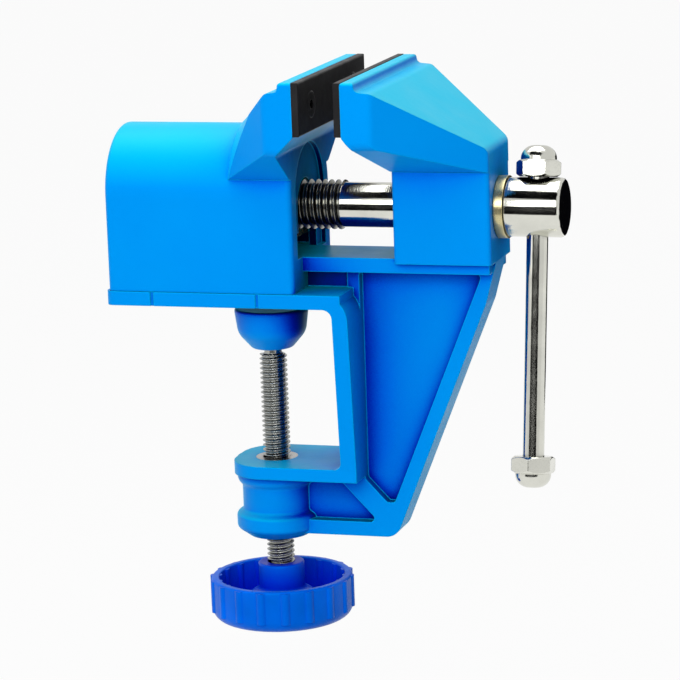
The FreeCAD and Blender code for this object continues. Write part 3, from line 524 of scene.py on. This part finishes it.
def turned_head(name, start, end, middle, radius, chamfers, hole_x, hole_radius, hole_axis):
    """A round head along X with a chamfer at each end and a cross hole."""
    bpy.ops.mesh.primitive_cylinder_add(vertices=160, radius=radius, depth=end - start,
                                        location=((start + end) / 2, 0, middle),
                                        rotation=(0, math.pi / 2, 0))
    head = bpy.context.object
    head.name = name
    settle(head)
    for place, chamfer in zip((start, end), chamfers):
        select_ring(head, place)
        bpy.ops.mesh.bevel(offset=chamfer, segments=3, profile=0.5)
        bpy.ops.object.mode_set(mode="OBJECT")
    bpy.ops.mesh.primitive_cylinder_add(vertices=96, radius=hole_radius, depth=4 * radius,
                                        location=(hole_x, 0, middle))
    cutter = bpy.context.object
    cutter.rotation_euler = Vector(hole_axis).to_track_quat("Z", "Y").to_euler()
    settle(cutter)
    hole = head.modifiers.new("hole", "BOOLEAN")
    hole.operation = "DIFFERENCE"
    hole.object = cutter
    apply_modifiers(head)
    make_active(cutter)
    bpy.ops.object.delete()
    close_and_smooth(head, 30)
    return head


def join_pieces(pieces, name):
    """Several pieces joined into one."""
    make_active(pieces[0])
    for piece in pieces[1:]:
        piece.select_set(True)
    bpy.ops.object.join()
    joined = bpy.context.object
    joined.name = name
    return joined


class VISE_OT_castings(Operator):
    """Paints the frame, the sliding jaw and the swivel pad"""

    bl_idname = "vise.castings"
    bl_label = "Castings"

    def execute(self, context):
        paint = painted_casting(context.scene.vise_finishes)
        for node in ("frame_casting", "sliding_jaw", "clamp_pad"):
            assign(node, paint)
        return {"FINISHED"}


class VISE_OT_jaw_pads(Operator):
    """Finishes the jaw pads and their screws"""

    bl_idname = "vise.jaw_pads"
    bl_label = "Jaw pads"

    def execute(self, context):
        finishes = context.scene.vise_finishes
        black = pad_black(finishes)
        oxide = plated("black_oxide", finishes.oxide, 0.35, (1, 1, 1))
        for jaw in ("fixed_jaw", "sliding_jaw"):
            assign(f"{jaw}_pad", black)
            assign(f"{jaw}_pad_screws", oxide)
        assign("lead_screw_grub", oxide)
        return {"FINISHED"}


class VISE_OT_lead_screw(Operator):
    """Cuts the lead screw's true thread and plates it, its nut and its washer"""

    bl_idname = "vise.lead_screw"
    bl_label = "Lead screw"

    def execute(self, context):
        finishes = context.scene.vise_finishes
        threads = context.scene.vise_threads
        low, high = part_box("lead_screw")
        base = (0, 0, (low.z + high.z) / 2)
        end = low.x + threads.lead_length
        thread = helix_thread("thread", base, (1, 0, 0), low.x, end, threads.lead_radius,
                              threads.lead_depth, threads.lead_pitch, threads.steps)
        shank = copy_node("lead_screw", "shank")
        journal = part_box("frame_casting")[1].x - threads.journal_length
        cut_at(shank, (journal, 0, 0), (1, 0, 0), False)
        head_start = high.x - threads.head_length
        cut_at(shank, (head_start, 0, 0), (1, 0, 0), True)
        close_and_smooth(shank, 35)
        bar_low, bar_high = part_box("handle_bar")
        head = turned_head("head", head_start, high.x, base[2], (high.z - low.z) / 2,
                           (threads.head_collar, threads.head_chamfer), (bar_low.x + bar_high.x) / 2,
                           (bar_high.x - bar_low.x) / 2 + threads.hole_clearance,
                           joint_named("handle_slide")["axis"])
        bpy.ops.mesh.primitive_cylinder_add(vertices=160, radius=threads.shank_radius,
                                            depth=journal - end,
                                            location=((end + journal) / 2, 0, base[2]),
                                            rotation=(0, math.pi / 2, 0))
        bare = bpy.context.object
        settle(bare)
        close_and_smooth(bare, 35)
        chrome = plated("bright_chrome", finishes.chrome, 0.07, (6, 0.3, 0.3))
        for piece in (shank, bare, head):
            piece.data.materials.clear()
            piece.data.materials.append(chrome)
        # The thread's dark steel is partly a painted dark reflection
        thread.data.materials.clear()
        thread.data.materials.append(plated("thread_darkened", finishes.thread_dark, 0.2, (1, 1, 1)))
        screw = join_pieces([shank, bare, head, thread], "lead_screw_threaded")
        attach(screw, "lead_screw")
        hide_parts("lead_screw")
        assign("thrust_washer", plated("yellow_zinc", finishes.yellow_zinc, 0.24, (0.3, 1, 1)))
        assign("lead_nut", plated("machined_brass", finishes.brass, 0.22, (0.3, 1, 1)))
        return {"FINISHED"}


class VISE_OT_handle(Operator):
    """Plates the sliding handle and its cap nuts"""

    bl_idname = "vise.handle"
    bl_label = "Handle"

    def execute(self, context):
        finishes = context.scene.vise_finishes
        bar = plated("chrome_bar", finishes.chrome, 0.10, (1, 1, 0.2))
        nuts = plated("chrome_nuts", finishes.chrome, 0.12, (1, 1, 1))
        assign("handle_bar", bar)
        assign("handle_nut_upper", nuts)
        assign("handle_nut_lower", nuts)
        return {"FINISHED"}


class VISE_OT_clamp_screw(Operator):
    """Cuts the clamp screw's true thread and plates it, its bush and its ring"""

    bl_idname = "vise.clamp_screw"
    bl_label = "Clamp screw"

    def execute(self, context):
        finishes = context.scene.vise_finishes
        threads = context.scene.vise_threads
        hub_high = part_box("handwheel")[1]
        pad_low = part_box("clamp_pad")[0]
        low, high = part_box("clamp_screw")
        radius = (high.x - low.x) / 2
        top = pad_low.z - threads.ball_neck
        bottom = hub_high.z
        thread = helix_thread("thread", (0, 0, 0), (0, 0, 1), bottom, top, radius, threads.clamp_depth,
                              threads.clamp_pitch, threads.steps)
        ball = copy_node("clamp_screw", "ball")
        cut_at(ball, (0, 0, top), (0, 0, 1), False)
        spigot = copy_node("clamp_screw", "spigot")
        cut_at(spigot, (0, 0, bottom), (0, 0, 1), True)
        close_and_smooth(ball, 35)
        close_and_smooth(spigot, 35)
        screw = join_pieces([ball, spigot, thread], "clamp_screw_threaded")
        zinc = plated("bright_zinc", finishes.zinc, 0.2, (1, 1, 1))
        screw.data.materials.clear()
        screw.data.materials.append(zinc)
        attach(screw, "clamp")
        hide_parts("clamp_screw")
        steel = plated("turned_steel", finishes.steel, 0.28, (1, 1, 4))
        assign("clamp_bush", steel)
        assign("pad_retaining_ring", steel)
        assign("handwheel_washer", zinc)
        assign("handwheel_nut", zinc)
        return {"FINISHED"}


class VISE_OT_handwheel(Operator):
    """Finishes the handwheel"""

    bl_idname = "vise.handwheel"
    bl_label = "Handwheel"

    def execute(self, context):
        assign("handwheel", moulded_blue(context.scene.vise_finishes))
        return {"FINISHED"}


def aim_camera(camera, place, back, roll):
    """Points a camera against its back direction, rolled about its own axis."""
    right = Vector((-back.y, back.x, 0)).normalized()
    up = back.cross(right)
    turned_right = right * math.cos(roll) + up * math.sin(roll)
    turned_up = up * math.cos(roll) - right * math.sin(roll)
    axes = Matrix((turned_right, turned_up, back)).transposed()
    camera.matrix_world = Matrix.Translation(place) @ axes.to_4x4()


def add_area_light(name, place, target, size, power):
    """A square area light aimed at a point."""
    bpy.ops.object.light_add(type="AREA", location=place)
    lamp = bpy.context.object
    lamp.name = name
    lamp.data.size = size
    lamp.data.energy = power
    lamp.rotation_euler = (Vector(target) - Vector(place)).to_track_quat("-Z", "Y").to_euler()


def add_dark_card(name, target, azimuth, elevation, width, height):
    """A black card that only shiny surfaces see, some degrees round and above a point, facing it."""
    turn = math.radians(azimuth)
    rise = math.radians(elevation)
    away = Vector((math.sin(turn) * math.cos(rise), -math.cos(turn) * math.cos(rise), math.sin(rise)))
    bpy.ops.mesh.primitive_plane_add(size=1, location=Vector(target) + away * CARD_DISTANCE)
    card = bpy.context.object
    card.name = name
    card.rotation_euler = away.to_track_quat("Z", "Y").to_euler()
    card.scale = (width, height, 1)
    material, _, shader = new_material(name)
    shader.inputs["Base Color"].default_value = (0.002, 0.002, 0.003, 1)
    shader.inputs["Specular IOR Level"].default_value = 0
    shader.inputs["Roughness"].default_value = 1
    card.data.materials.append(material)
    card.visible_camera = False
    card.visible_diffuse = False
    card.visible_shadow = False


def floor_material(stage):
    """A pale floor that stays bright to the camera and keeps the vise's shadow."""
    material, tree, shader = new_material("pale_floor")
    shader.inputs["Base Color"].default_value = (*stage.floor, 1)
    shader.inputs["Roughness"].default_value = 0.9
    shader.inputs["Specular IOR Level"].default_value = 0.1
    path = add_node(tree, "ShaderNodeLightPath")
    seen = add_node(tree, "ShaderNodeMath", operation="MAXIMUM")
    tree.links.new(path.outputs["Is Camera Ray"], seen.inputs[0])
    tree.links.new(path.outputs["Is Glossy Ray"], seen.inputs[1])
    share = add_node(tree, "ShaderNodeMath", operation="MULTIPLY")
    tree.links.new(seen.outputs["Value"], share.inputs[0])
    share.inputs[1].default_value = 0.95
    glow = add_node(tree, "ShaderNodeEmission", Strength=1.0)
    mix = add_node(tree, "ShaderNodeMixShader")
    tree.links.new(share.outputs["Value"], mix.inputs[0])
    tree.links.new(shader.outputs["BSDF"], mix.inputs[1])
    tree.links.new(glow.outputs["Emission"], mix.inputs[2])
    tree.links.new(mix.outputs["Shader"], tree.nodes["Material Output"].inputs["Surface"])
    return material


def light_world(stage):
    """An even sky that is white to the camera and in reflections."""
    world = bpy.data.worlds.new("studio")
    bpy.context.scene.world = world
    world.use_nodes = True
    tree = world.node_tree
    even = tree.nodes["Background"]
    even.inputs["Color"].default_value = (1, 1, 1, 1)
    even.inputs["Strength"].default_value = stage.sky
    white = add_node(tree, "ShaderNodeBackground", Strength=1.0)
    path = add_node(tree, "ShaderNodeLightPath")
    seen = add_node(tree, "ShaderNodeMath", operation="MAXIMUM")
    tree.links.new(path.outputs["Is Camera Ray"], seen.inputs[0])
    tree.links.new(path.outputs["Is Glossy Ray"], seen.inputs[1])
    mix = add_node(tree, "ShaderNodeMixShader")
    tree.links.new(seen.outputs["Value"], mix.inputs[0])
    tree.links.new(even.outputs["Background"], mix.inputs[1])
    tree.links.new(white.outputs["Background"], mix.inputs[2])
    tree.links.new(mix.outputs["Shader"], tree.nodes["World Output"].inputs["Surface"])


class VISE_OT_stage(Operator):
    """Sets the camera, the floor and the lights"""

    bl_idname = "vise.stage"
    bl_label = "Stage"

    def execute(self, context):
        stage = context.scene.vise_stage
        low, high = CAD_BOX
        middle = (low + high) / 2
        back = Vector((math.sin(stage.azimuth) * math.cos(stage.elevation),
                       -math.cos(stage.azimuth) * math.cos(stage.elevation), math.sin(stage.elevation)))
        bpy.ops.object.camera_add()
        camera = bpy.context.object
        aim_camera(camera, middle + Vector(stage.aim) + back * stage.distance, back, stage.roll)
        camera.data.lens = stage.lens
        camera.data.sensor_width = 36
        camera.data.clip_start = 0.01
        camera.data.clip_end = 50
        context.scene.camera = camera
        lowest = low.z + min(joint_named("clamp_travel")["range_m"])
        bpy.ops.mesh.primitive_circle_add(vertices=96, radius=8, fill_type="NGON",
                                          location=(middle.x, 0, lowest - FLOOR_GAP))
        floor = bpy.context.object
        floor.name = "floor"
        floor.data.materials.append(floor_material(stage))
        size = (high - low).length
        add_area_light("top_light", middle + Vector((-0.1, 0.1, 1.0)) * size * 2.2, middle, size * 2.4,
                       stage.top_power)
        add_area_light("front_light", middle + Vector((0.05, -1.0, 0.30)) * size * 2.6, middle,
                       size * 2.0, stage.front_power)
        add_area_light("side_light", middle + Vector((-1.0, -0.7, 0.5)) * size * 2.4, middle, size * 1.6,
                       stage.side_power)
        head_low, head_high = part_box("lead_screw")
        head = Vector((head_high.x, 0, (head_low.z + head_high.z) / 2))
        add_dark_card("front_card", head, 0, -4, 0.55, 0.20)
        add_dark_card("upper_card", head, -17, 55, 0.50, 0.20)
        add_dark_card("rear_card", head, 163, -8, 0.30, 0.16)
        light_world(stage)
        context.scene.view_settings.view_transform = "Standard"
        return {"FINISHED"}


class VISE_PT_panel(Panel):
    """The vise's pieces and stage, in the sidebar"""

    bl_idname = "VISE_PT_panel"
    bl_label = "Bench vise"
    bl_space_type = "VIEW_3D"
    bl_region_type = "UI"
    bl_category = "Vise"

    def draw(self, context):
        for operator in OPERATORS:
            self.layout.operator(operator.bl_idname)
        for group in (context.scene.vise_finishes, context.scene.vise_threads, context.scene.vise_stage):
            column = self.layout.column()
            for name in type(group).__annotations__:
                column.prop(group, name)


OPERATORS = (
    VISE_OT_stage,
    VISE_OT_castings,
    VISE_OT_jaw_pads,
    VISE_OT_lead_screw,
    VISE_OT_handle,
    VISE_OT_clamp_screw,
    VISE_OT_handwheel,
)
CLASSES = (ViseFinishes, ViseThreads, ViseStage) + OPERATORS + (VISE_PT_panel,)


def register():
    for each in CLASSES:
        bpy.utils.register_class(each)
    bpy.types.Scene.vise_finishes = PointerProperty(type=ViseFinishes)
    bpy.types.Scene.vise_threads = PointerProperty(type=ViseThreads)
    bpy.types.Scene.vise_stage = PointerProperty(type=ViseStage)


def unregister():
    del bpy.types.Scene.vise_stage
    del bpy.types.Scene.vise_threads
    del bpy.types.Scene.vise_finishes
    for each in reversed(CLASSES):
        bpy.utils.unregister_class(each)


def main():
    """Registers the add-on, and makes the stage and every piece."""
    register()
    bpy.ops.vise.stage()
    bpy.ops.vise.castings()
    bpy.ops.vise.jaw_pads()
    bpy.ops.vise.lead_screw()
    bpy.ops.vise.handle()
    bpy.ops.vise.clamp_screw()
    bpy.ops.vise.handwheel()


if __name__ == "__main__":
    main()
